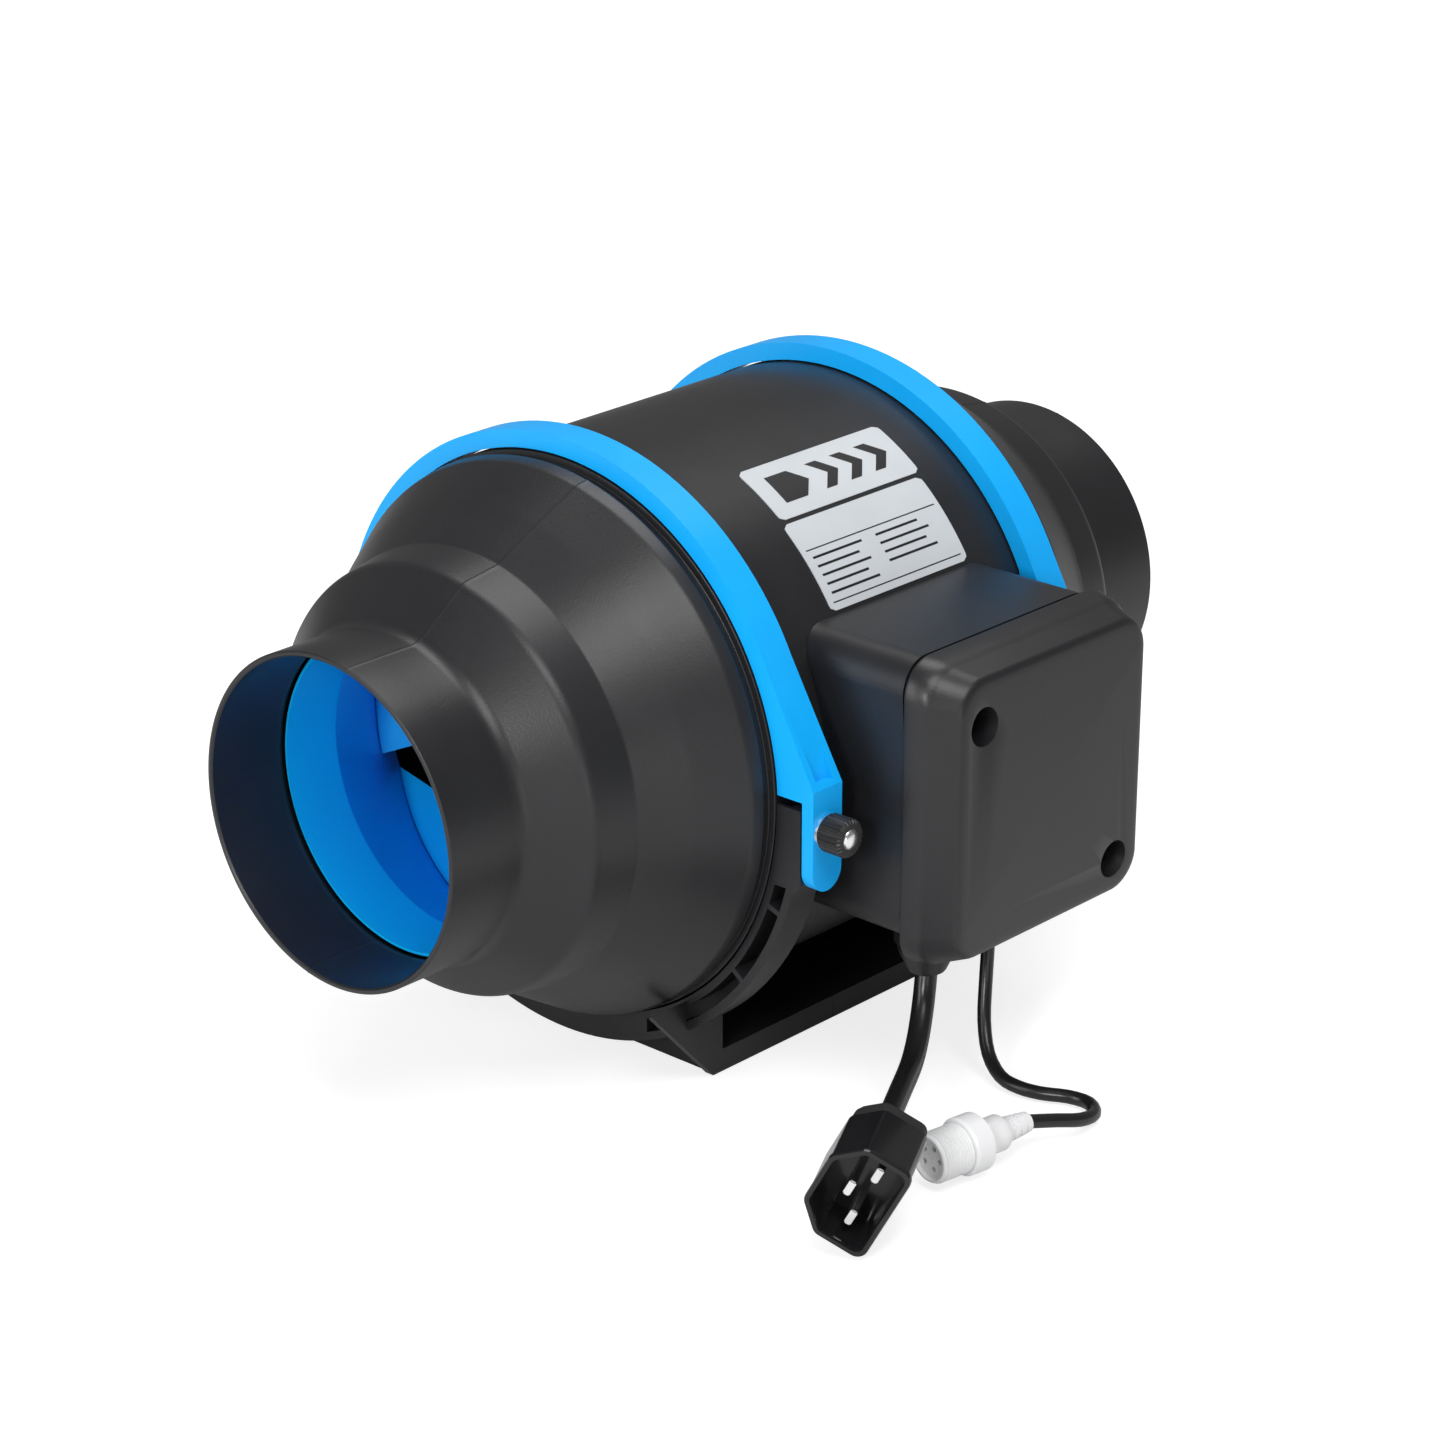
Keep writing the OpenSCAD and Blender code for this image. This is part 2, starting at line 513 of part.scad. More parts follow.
// Pieces on the clamp bolt, from y0 to y1 towards the junction box side.
module on_bolt(y0, y1, r_out, r_in, sides) translate([-strap_x, -y0, axis_h + bolt_z]) rotate([90, 0, 0])
    difference() {
        cylinder(r = r_out, h = y1 - y0, $fn = sides);
        if (r_in > 0) translate([0, 0, -1]) cylinder(r = r_in, h = y1 - y0 + 2, $fn = 48);
    }
module clamp_bolt() {
    on_bolt(84.1, 86.6, 3.8, 0, 48);
    on_bolt(86.6, 103.4, bolt_r, 0, 48);
}
module washer() on_bolt(tab_out + 0.05, tab_out + 1, 5, bolt_r + 0.1, 48);
module thumb_nut() difference() {
    on_bolt(tab_out + 1.05, tab_out + 9, 5.5, bolt_r + 0.05, 48);
    on_bolt(tab_out + 7.6, tab_out + 10, 3, 0, 48);
}
module nut_insert() on_bolt(tab_out + 7.6, tab_out + 9.6, 2.95, 0, 48);
module clamp_bolt_front() color("#c8c8cc") clamp_bolt();
module clamp_bolt_rear() color("#c8c8cc") mirror([1, 0, 0]) clamp_bolt();
module washer_front() color("#c8c8cc") washer();
module washer_rear() color("#c8c8cc") mirror([1, 0, 0]) washer();
module thumb_nut_front() color("#1a1a1c") thumb_nut();
module thumb_nut_rear() color("#1a1a1c") mirror([1, 0, 0]) thumb_nut();
module nut_insert_front() color("#e2e4e8") nut_insert();
module nut_insert_rear() color("#e2e4e8") mirror([1, 0, 0]) nut_insert();

// ---- Labels ----

// Thin plate on the casing, between two angles from the top towards the junction box.
module label(x0, x1, a0, a1) on_axis() translate([0, 0, x0]) rotate([0, 0, 180 + a0])
    rotate_extrude(angle = a1 - a0, $fn = 144) translate([body_r, 0]) square([0.25, x1 - x0]);
module flow_label() color("#d6d9dc") label(-24.5, 35, 24, 37.6);
module rating_plate() color("#d6d9dc") label(-25.5, 33.5, 38.6, 57.9);

bracket_front();
bracket_rear();
bracket_screws();
inlet_cone();
outlet_cone();
mid_casing();
inlet_seal();
outlet_seal();
guide_vanes();
tail_cone();
motor_flange();
motor_screws();
stator_core();
stator_windings();
front_bearing();
rear_bearing();
shaft_clip();
motor_lead();
lead_grommet();
impeller();
impeller_shroud();
impeller_screws();
rotor_cup();
rotor_magnets();
shaft();
junction_box();
box_screws();
box_cover();
cover_gasket();
cover_screws();
control_board();
capacitors();
terminal_block();
terminal_screws();
mains_gland();
mains_strain_relief();
mains_lead();
plug_shell();
plug_rear_cap();
plug_pins();
control_grommet();
control_lead();
connector_sleeve();
connector_flange();
connector_barrel();
strap_front();
strap_rear();
hinge_pins();
clamp_bolt_front();
clamp_bolt_rear();
washer_front();
washer_rear();
thumb_nut_front();
thumb_nut_rear();
nut_insert_front();
nut_insert_rear();
flow_label();
rating_plate();
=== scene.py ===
"""Mixed-flow inline duct fan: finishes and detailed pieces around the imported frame."""
import json
import math

import bmesh
import bpy
from mathutils import Matrix, Vector


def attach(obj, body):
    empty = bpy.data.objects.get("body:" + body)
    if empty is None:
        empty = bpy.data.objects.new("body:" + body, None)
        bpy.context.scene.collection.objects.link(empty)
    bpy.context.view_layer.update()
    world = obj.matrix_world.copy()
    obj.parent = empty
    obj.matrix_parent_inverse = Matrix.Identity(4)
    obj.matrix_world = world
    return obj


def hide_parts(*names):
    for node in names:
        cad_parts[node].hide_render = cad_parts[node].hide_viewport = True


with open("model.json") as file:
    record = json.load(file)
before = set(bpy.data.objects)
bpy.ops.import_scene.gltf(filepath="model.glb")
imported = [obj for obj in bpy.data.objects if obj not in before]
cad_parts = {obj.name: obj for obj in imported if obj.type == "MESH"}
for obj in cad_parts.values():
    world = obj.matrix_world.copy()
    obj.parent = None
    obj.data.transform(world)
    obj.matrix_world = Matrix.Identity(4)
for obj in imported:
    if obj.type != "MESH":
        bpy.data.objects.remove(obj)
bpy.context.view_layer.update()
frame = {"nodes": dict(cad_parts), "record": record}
NODES = frame["nodes"]

MM = 0.001
AXIS_H = 0.095
BODY_R = 0.0827
STRAP_X = 0.0569
STRAP_IN = 0.0516
NUT_Z = AXIS_H - 0.004


# ---- Camera, floor and light ----

def make_camera():
    cam = bpy.data.objects.new("camera", bpy.data.cameras.new("camera"))
    bpy.context.collection.objects.link(cam)
    azimuth, elevation = math.radians(-47.57), math.radians(21.73)
    cam.location = (-0.8515, -0.7844, 0.4464 + AXIS_H)
    back = Vector((math.sin(azimuth) * math.cos(elevation), -math.cos(azimuth) * math.cos(elevation),
                   math.sin(elevation)))
    right = Vector((math.cos(azimuth), math.sin(azimuth), 0))
    up = back.cross(right)
    cam.matrix_world = Matrix.Translation(cam.location) @ Matrix((right, up, back)).transposed().to_4x4()
    cam.data.sensor_width = 36
    cam.data.lens = 105.24
    cam.data.clip_end = 50
    bpy.context.scene.camera = cam


def make_floor():
    mesh = bpy.data.meshes.new("floor")
    mesh.from_pydata([(-30, -30, 0), (30, -30, 0), (30, 30, 0), (-30, 30, 0)], [], [(0, 1, 2, 3)])
    floor = bpy.data.objects.new("floor", mesh)
    floor.location.z = -0.0004
    bpy.context.collection.objects.link(floor)
    mat = bpy.data.materials.new("floor")
    mat.use_nodes = True
    nt = mat.node_tree
    nt.nodes.clear()
    out = nt.nodes.new("ShaderNodeOutputMaterial")
    path = nt.nodes.new("ShaderNodeLightPath")
    plain = nt.nodes.new("ShaderNodeBsdfDiffuse")
    plain.inputs["Color"].default_value = (0.8, 0.8, 0.8, 1)
    seen = nt.nodes.new("ShaderNodeBsdfDiffuse")
    seen.inputs["Color"].default_value = (0.5, 0.5, 0.5, 1)
    glow = nt.nodes.new("ShaderNodeEmission")
    glow.inputs["Strength"].default_value = 0.74
    add = nt.nodes.new("ShaderNodeAddShader")
    mix = nt.nodes.new("ShaderNodeMixShader")
    nt.links.new(seen.outputs[0], add.inputs[0])
    nt.links.new(glow.outputs[0], add.inputs[1])
    nt.links.new(path.outputs["Is Camera Ray"], mix.inputs["Fac"])
    nt.links.new(plain.outputs[0], mix.inputs[1])
    nt.links.new(add.outputs[0], mix.inputs[2])
    nt.links.new(mix.outputs[0], out.inputs["Surface"])
    mesh.materials.append(mat)


def area_light(name, place, target, size, power):
    light = bpy.data.lights.new(name, "AREA")
    light.shape = "RECTANGLE"
    light.size, light.size_y = size
    light.energy = power
    obj = bpy.data.objects.new(name, light)
    bpy.context.collection.objects.link(obj)
    obj.location = place
    obj.rotation_euler = (Vector(target) - Vector(place)).to_track_quat("-Z", "Y").to_euler()


def make_world():
    scene = bpy.context.scene
    scene.view_settings.view_transform = "Standard"
    world = bpy.data.worlds.new("studio")
    scene.world = world
    world.use_nodes = True
    nt = world.node_tree
    nt.nodes.clear()
    out = nt.nodes.new("ShaderNodeOutputWorld")
    path = nt.nodes.new("ShaderNodeLightPath")
    bright = nt.nodes.new("ShaderNodeBackground")
    bright.inputs["Strength"].default_value = 1.0
    soft = nt.nodes.new("ShaderNodeBackground")
    soft.inputs["Strength"].default_value = 0.26
    both = nt.nodes.new("ShaderNodeMath")
    both.operation = "MAXIMUM"
    nt.links.new(path.outputs["Is Camera Ray"], both.inputs[0])
    nt.links.new(path.outputs["Is Transmission Ray"], both.inputs[1])
    mix = nt.nodes.new("ShaderNodeMixShader")
    nt.links.new(both.outputs[0], mix.inputs["Fac"])
    nt.links.new(soft.outputs[0], mix.inputs[1])
    nt.links.new(bright.outputs[0], mix.inputs[2])
    nt.links.new(mix.outputs[0], out.inputs["Surface"])


make_camera()
make_floor()
make_world()
area_light("key", (-0.5, -0.9, 1.5), (0, 0, 0.1), (0.9, 0.7), 13)
area_light("top", (0.5, 0.2, 1.6), (0, 0, 0.1), (1.2, 0.8), 12)
area_light("side", (-1.6, 0.5, 0.7), (0, 0, 0.1), (0.5, 1.1), 10)
area_light("low", (-0.9, -1.5, 0.25), (0, 0, 0.08), (0.5, 0.5), 2)
area_light("front", (-1.5, -0.6, 0.7), (-0.12, 0.03, 0.09), (0.35, 0.35), 9)


# ---- Materials ----

def plastic(name, colour, rough=0.42, grain=2200, bump=0.05, wear=0.06, spec=0.5, blotch=40):
    """Moulded plastic: fine surface grain, slight change of gloss, and soft variation of colour."""
    mat = bpy.data.materials.new(name)
    mat.use_nodes = True
    nt = mat.node_tree
    bsdf = nt.nodes["Principled BSDF"]
    bsdf.inputs["Specular IOR Level"].default_value = spec
    coord = nt.nodes.new("ShaderNodeTexCoord")
    fine = nt.nodes.new("ShaderNodeTexNoise")
    fine.inputs["Scale"].default_value = grain
    fine.inputs["Detail"].default_value = 3
    broad = nt.nodes.new("ShaderNodeTexNoise")
    broad.inputs["Scale"].default_value = blotch
    broad.inputs["Detail"].default_value = 5
    for tex in (fine, broad):
        nt.links.new(coord.outputs["Object"], tex.inputs["Vector"])
    shade = nt.nodes.new("ShaderNodeValToRGB")
    shade.color_ramp.elements[0].position = 0.3
    shade.color_ramp.elements[1].position = 0.7
    shade.color_ramp.elements[0].color = (*[c * (1 - wear * 2) for c in colour], 1)
    shade.color_ramp.elements[1].color = (*[min(1, c * (1 + wear * 2)) for c in colour], 1)
    nt.links.new(broad.outputs["Fac"], shade.inputs["Fac"])
    nt.links.new(shade.outputs["Color"], bsdf.inputs["Base Color"])
    gloss = nt.nodes.new("ShaderNodeMapRange")
    gloss.inputs["To Min"].default_value = rough - 0.06
    gloss.inputs["To Max"].default_value = rough + 0.06
    nt.links.new(broad.outputs["Fac"], gloss.inputs["Value"])
    nt.links.new(gloss.outputs["Result"], bsdf.inputs["Roughness"])
    lift = nt.nodes.new("ShaderNodeBump")
    lift.inputs["Strength"].default_value = bump
    lift.inputs["Distance"].default_value = 0.0003
    nt.links.new(fine.outputs["Fac"], lift.inputs["Height"])
    nt.links.new(lift.outputs["Normal"], bsdf.inputs["Normal"])
    return mat


def metal(name, colour, rough=0.3, brushed=0.0):
    """Metal with fine machining marks and slight change of polish."""
    mat = plastic(name, colour, rough=rough, grain=3000, bump=0.04 + brushed, wear=0.05, blotch=120)
    mat.node_tree.nodes["Principled BSDF"].inputs["Metallic"].default_value = 1.0
    return mat


MATERIALS = {
    "casing_black": plastic("casing_black", (0.0125, 0.0126, 0.0142), rough=0.38, grain=1500, bump=0.12, wear=0.05),
    "strap_blue": plastic("strap_blue", (0.004, 0.42, 1.0), rough=0.36, grain=900, bump=0.04, wear=0.02,
                          spec=0.35),
    "impeller_blue": plastic("impeller_blue", (0.004, 0.46, 1.0), rough=0.30, grain=700, bump=0.03, wear=0.01,
                             spec=0.35),
    "vane_blue": plastic("vane_blue", (0.01, 0.12, 0.34), rough=0.35),
    "rubber_black": plastic("rubber_black", (0.012, 0.012, 0.012), rough=0.7, bump=0.1),
    "gland_black": plastic("gland_black", (0.014, 0.014, 0.015), rough=0.38, bump=0.06),
    "lead_black": plastic("lead_black", (0.010, 0.010, 0.011), rough=0.28, grain=1200, bump=0.05),
    "plug_black": plastic("plug_black", (0.010, 0.010, 0.011), rough=0.14, grain=500, bump=0.015, wear=0.03),
    "connector_white": plastic("connector_white", (0.88, 0.88, 0.89), rough=0.32, grain=900, bump=0.03, wear=0.01),
    "nickel": metal("nickel", (0.93, 0.93, 0.94), rough=0.22),
    "steel": metal("steel", (0.55, 0.55, 0.57), rough=0.3),
    "screw_dark": metal("screw_dark", (0.10, 0.10, 0.11), rough=0.4),
    "motor_aluminium": metal("motor_aluminium", (0.70, 0.71, 0.73), rough=0.42, brushed=0.1),
    "core_steel": metal("core_steel", (0.33, 0.34, 0.36), rough=0.45),
    "copper_wire": metal("copper_wire", (0.62, 0.26, 0.10), rough=0.3),
    "magnet": metal("magnet", (0.08, 0.08, 0.09), rough=0.55),
    "board_green": plastic("board_green", (0.015, 0.11, 0.04), rough=0.35, blotch=300, wear=0.15),
    "terminal_grey": plastic("terminal_grey", (0.62, 0.62, 0.63), rough=0.4),
    "label_silver": plastic("label_silver", (0.60, 0.63, 0.66), rough=0.3, grain=1800, bump=0.02, wear=0.02),
    "print_black": plastic("print_black", (0.012, 0.012, 0.013), rough=0.35, bump=0.01),
}
SLOT_OF = {s["node"]: s["material_slot"] for s in frame["record"]["subparts"]}
for node_name, node_obj in NODES.items():
    node_obj.data.materials.clear()
    node_obj.data.materials.append(MATERIALS[SLOT_OF[node_name]])


# ---- Mesh helpers ----

def shade_smooth(mesh, angle):
    mesh.polygons.foreach_set("use_smooth", [True] * len(mesh.polygons))
    mesh.set_sharp_from_angle(angle=math.radians(angle))


def add_piece(name, bm, slot_name, body="root", angle=35):
    bmesh.ops.recalc_face_normals(bm, faces=bm.faces)
    mesh = bpy.data.meshes.new(name)
    bm.to_mesh(mesh)
    bm.free()
    obj = bpy.data.objects.new(name, mesh)
    bpy.context.collection.objects.link(obj)
    mesh.materials.append(MATERIALS[slot_name])
    shade_smooth(mesh, angle)
    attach(obj, body)
    return obj


def apply_modifiers(obj):
    bpy.context.view_layer.update()
    graph = bpy.context.evaluated_depsgraph_get()
    done = bpy.data.meshes.new_from_object(obj.evaluated_get(graph))
    obj.modifiers.clear()
    obj.data = done


def bevel(obj, width, segments=3, angle=32, harden=True):
    """Rounds the edges that turn by more than an angle in degrees."""
    mod = obj.modifiers.new("round", "BEVEL")
    mod.width = width
    mod.segments = segments
    mod.limit_method = "ANGLE"
    mod.angle_limit = math.radians(angle)
    mod.harden_normals = harden
    apply_modifiers(obj)


def cleaned(node):
    """A CAD piece's mesh without its doubled points or the cuts across its flat faces."""
    bm = bmesh.new()
    bm.from_mesh(NODES[node].data)
    bmesh.ops.remove_doubles(bm, verts=bm.verts, dist=2e-6)
    bmesh.ops.dissolve_limit(bm, angle_limit=math.radians(0.6), verts=bm.verts, edges=bm.edges)
    return bm


def softened(node, width, segments=3, tweak=None):
    """A copy of a CAD piece with its sharp edges rounded, which stands for it."""
    bm = cleaned(node)
    for v in bm.verts if tweak else ():
        tweak(v.co)
    obj = add_piece(node + "_soft", bm, SLOT_OF[node], frame_body(node), angle=30)
    bevel(obj, width, segments)
    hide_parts(node)
    return obj


def frame_body(node):
    for body, members in frame["record"]["behaviour"]["bodies"].items():
        if node in members:
            return body
    return "root"


def arc_corner(p, q, s, r, steps=10):
    """Points that round corner q between p and s."""
    u, v = (p - q).normalized(), (s - q).normalized()
    half = math.acos(max(-1, min(1, u.dot(v)))) / 2
    if r <= 0 or half > math.radians(89.5):
        return [q]
    reach = r / math.tan(half)
    c = q + (u + v).normalized() * r / math.sin(half)
    a, b = q + u * reach - c, q + v * reach - c
    turn = math.pi - 2 * half
    side = 1 if a.x * b.y - a.y * b.x > 0 else -1
    return [c + Vector((a.x * math.cos(g) - a.y * math.sin(g), a.x * math.sin(g) + a.y * math.cos(g)))
            for g in (side * turn * i / steps for i in range(steps + 1))]


def rounded(points):
    """Outline from [x, r, corner radius] points."""
    pts = [Vector(p[:2]) for p in points]
    out = [pts[0]]
    for i in range(1, len(pts) - 1):
        out += arc_corner(pts[i - 1], pts[i], pts[i + 1], points[i][2])
    return out + [pts[-1]]


def lathe(name, profile, slot_name, body="root", around=160, seams=(), seam=0.00012, move=None, angle=35):
    """Closed solid of revolution about +X at the fan axis, from a closed outline of (x, r) in metres.
    A seam is a fine moulding line along the solid at an angle from the top."""
    angles = [2 * math.pi * i / around for i in range(around)]
    lift = {}
    for a in seams:
        for d, h in ((-0.006, 0), (-0.002, seam), (0.002, seam), (0.006, 0)):
            angles.append((math.radians(a) + d) % (2 * math.pi))
            lift[angles[-1]] = h
    angles.sort()
    bm = bmesh.new()
    loops = []
    for x, r in profile:
        if r < 1e-6:
            loops.append([bm.verts.new((x, 0, 0))] * len(angles))
            continue
        loops.append([bm.verts.new((x, -(r + lift.get(a, 0)) * math.sin(a), (r + lift.get(a, 0)) * math.cos(a)))
                      for a in angles])
    for i in range(len(loops)):
        one, two = loops[i], loops[(i + 1) % len(loops)]
        for k in range(len(angles)):
            corners = list(dict.fromkeys([one[k], one[(k + 1) % len(angles)], two[(k + 1) % len(angles)], two[k]]))
            if len(corners) > 2:
                bm.faces.new(corners)
    bmesh.ops.transform(bm, matrix=move or Matrix.Translation((0, 0, AXIS_H)), verts=bm.verts)
    return add_piece(name, bm, slot_name, body, angle=angle)


def in_metres(points):
    return [Vector((p[0] * MM, p[1] * MM)) for p in points]


def spline(points, steps):
    """Catmull-Rom curve through points."""
    p = [Vector(q) for q in points]
    out = []
    for i in range(len(p) - 1):
        a, b, c, d = p[max(i - 1, 0)], p[i], p[i + 1], p[min(i + 2, len(p) - 1)]
        for j in range(steps):
            t = j / steps
            out.append(0.5 * (2 * b + (c - a) * t + (2 * a - 5 * b + 4 * c - d) * t * t
                              + (3 * b - a - 3 * c + d) * t * t * t))
    return out + [p[-1]]


# ---- Casing ----

END_OUTER = rounded([[151.3, 47.9, 0], [151.1, 48.4, 0.4], [140, 48.4, 0], [125.2, 48.3, 7], [111.2, 62.4, 6],
                     [98, 64.5, 3], [84.5, 73.1, 60], [70.5, 81.4, 4.5], [66.2, 82.3, 0.8], [65.6, 80.6, 0.3],
                     [62.9, 80.6, 0.3], [62.6, 82.6, 0.3], [56.9, 82.6, 0]])
END_INNER = rounded([[56.9, 78.2, 0], [72.5, 78.2, 4], [84, 71, 50], [98, 62.4, 4], [110.4, 60.3, 5],
                     [124.4, 46.7, 8], [150.8, 46.7, 0.4], [151.3, 47.2, 0]])


def end_piece(name, side, node):
    outline = in_metres([(side * p.x, p.y) for p in list(END_OUTER) + list(END_INNER)])
    obj = lathe(name, outline, "casing_black", around=192, seams=(12, 192))
    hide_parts(node)


end_piece("inlet_cone_shell", -1, "inlet_cone")
end_piece("outlet_cone_shell", 1, "outlet_cone")

# ---- Impeller ----

SHROUD_IN = rounded([[-124.4, 45.6, 0], [-105.5, 45.9, 2], [-84, 56.4, 40], [-64, 70, 0]])
SHROUD_OUT = rounded([[-64, 71.6, 0], [-84, 58.2, 40], [-105, 47.4, 6], [-116, 46.7, 6], [-124.0, 46.7, 0],
                      [-124.4, 46.3, 0]])


CAD_SHROUD_IN = rounded([[-121.5, 44.9, 0], [-100, 46.2, 30], [-84, 55.6, 30], [-64, 70, 0]])


def outline_radius(outline, x):
    """Radius of an outline at x."""
    for a, b in zip(outline, outline[1:]):
        if a.x <= x <= b.x:
            return a.y + (b.y - a.y) * (x - a.x) / max(1e-6, b.x - a.x)
    return outline[0].y if x < outline[0].x else outline[-1].y


def impeller():
    """Shroud with a straight lip, and hub and blades drawn back behind it. Each point of the CAD impeller moves
    back along x, and out or in so that the blades still reach the shroud."""
    body = frame_body("impeller_shroud")
    shroud = lathe("impeller_shroud_shell", in_metres(list(SHROUD_IN) + list(SHROUD_OUT)), "impeller_blue", body,
                   around=192, angle=25)
    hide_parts("impeller_shroud")
    bm = bmesh.new()
    bm.from_mesh(NODES["impeller"].data)
    for v in bm.verts:
        x = v.co.x / MM
        if x < -63:
            back = -63 + (x + 63) * 0.56 if x > -95 else -80.9 + (x + 95) * 0.13
            grow = (outline_radius(SHROUD_IN, back) - 0.2) / outline_radius(CAD_SHROUD_IN, x)
            v.co.x = back * MM
            v.co.y *= grow
            v.co.z = AXIS_H + (v.co.z - AXIS_H) * grow
    obj = add_piece("impeller_set_back", bm, SLOT_OF["impeller"], frame_body("impeller"), angle=30)
    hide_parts("impeller")


impeller()


# ---- Leads ----

MAINS_D = 0.0064
MAINS_ROUTE = [(-19, -101, 38), (-21.4, -102.3, 31.5), (-25.1, -104.4, 26), (-30, -107.2, 21.7),
               (-35.6, -110.3, 19), (-41.7, -113.7, 18.2), (-50.4, -118.6, 18.3), (-60, -124, 18.3),
               (-70, -129.6, 18.3)]
CONTROL_D = 0.004
CONTROL_ROUTE = [(12, -98, 46), (12, -98, 42), (11.5, -98.5, 34), (9, -100, 24), (5, -103, 14.5),
                 (1, -108, 7), (-2, -115, 3.2), (-2.5, -122, 2.3), (-1, -129, 2.2), (2.5, -136, 2.2),
                 (3, -143, 2.3), (-2, -148.5, 2.8), (-10, -150, 4.5), (-19, -148, 7), (-28, -145, 9)]


def lead(name, route, diameter, node, with_pieces):
    path = spline([Vector(p) * MM for p in route], 4 if len(route) < 12 else 3)
    data = bpy.data.curves.new(name, "CURVE")
    data.dimensions = "3D"
    data.bevel_depth = diameter / 2
    data.bevel_resolution = 8
    data.use_fill_caps = True
    line = data.splines.new("POLY")
    line.points.add(len(path) - 1)
    for point, place in zip(line.points, path):
        point.co = (*place, 1)
    line.use_smooth = True
    obj = bpy.data.objects.new(name, data)
    bpy.context.collection.objects.link(obj)
    data.materials.append(MATERIALS["lead_black"])
    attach(obj, "root")
    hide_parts(node)
    return obj


# ---- Junction box cover ----

def rect_loop(x0, x1, z0, z1, r, corner=10):
    """Rounded rectangle in x and z, the same number of points at any size."""
    out = []
    for cx, cz, start in ((x1 - r, z1 - r, 0), (x0 + r, z1 - r, 90), (x0 + r, z0 + r, 180), (x1 - r, z0 + r, 270)):
        for i in range(corner + 1):
            a = math.radians(start + 90 * i / corner)
            out.append((cx + r * math.cos(a), cz + r * math.sin(a)))
    return out


def cylinder_bm(radius, y0, y1, x, z, around=48):
    bm = bmesh.new()
    bmesh.ops.create_cone(bm, cap_ends=True, segments=around, radius1=radius, radius2=radius, depth=y1 - y0)
    place = Matrix.Translation((x, -(y0 + y1) / 2, z + AXIS_H)) @ Matrix.Rotation(math.radians(90), 4, "X")
    bmesh.ops.transform(bm, matrix=place, verts=bm.verts)
    return bm


def cut(obj, bm):
    """Takes the solid bm out of obj."""
    mesh = bpy.data.meshes.new("cutter")
    bmesh.ops.recalc_face_normals(bm, faces=bm.faces)
    bm.to_mesh(mesh)
    bm.free()
    tool = bpy.data.objects.new("cutter", mesh)
    bpy.context.collection.objects.link(tool)
    mod = obj.modifiers.new("cut", "BOOLEAN")
    mod.operation = "DIFFERENCE"
    mod.solver = "EXACT"
    mod.object = tool
    apply_modifiers(obj)
    bpy.data.objects.remove(tool)
    bpy.data.meshes.remove(mesh)


COVER_SCREWS = ((-26, 25), (34, -33))
COVER_MIDDLE = Vector((4.6, -2.4))
CROWN = 1.8
CROWN_REACH = 44
BOX_FRONT_Y = -0.1085


def crown(z):
    """How far the front stands out at a height (mm from the axis): most at mid-height, none at top and bottom."""
    return -CROWN * min(1, (z / CROWN_REACH) ** 2)


def cover_ring(left, right, low, high, r, y):
    return [Vector((x * MM, -(y + crown(z)) * MM, z * MM + AXIS_H)) for x, z in rect_loop(left, right, low, high, r)]


